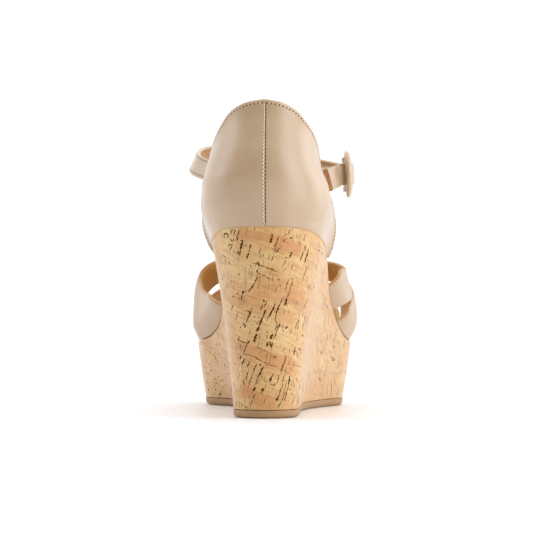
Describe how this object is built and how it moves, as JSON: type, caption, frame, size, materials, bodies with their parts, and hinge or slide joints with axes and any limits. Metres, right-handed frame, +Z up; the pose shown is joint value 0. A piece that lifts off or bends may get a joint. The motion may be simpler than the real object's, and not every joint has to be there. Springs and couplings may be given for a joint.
{
  "type": "wedge ankle strap sandal",
  "caption": "Right wedge sandal with a closed heel cup, crossed vamp straps, a buckled ankle strap and a cork-covered wedge and platform.",
  "frame": {"origin": "on the floor, under the middle of the shoe's bounding box", "axes": "+Y from heel to toe, +X to the outer side of the foot, +Z up"},
  "size_m": [0.0948, 0.2354, 0.1667],
  "materials": {
    "outsole_rubber": "matt, tan",
    "wedge_cork": "natural cork sheet, matt",
    "insole_leather": "smooth, semi-matt",
    "upper_leather": "smooth, semi-matt",
    "buckle_metal": "polished"
  },
  "bodies": {
    "root": {"outsole": "outsole_rubber", "wedge": "wedge_cork", "insole": "insole_leather", "heel_counter": "upper_leather", "vamp_straps": "upper_leather", "ankle_strap": "upper_leather", "buckle_tab": "upper_leather", "buckle_ring": "upper_leather", "buckle_bar": "buckle_metal", "buckle_prong": "buckle_metal"}
  },
  "joints": []
}
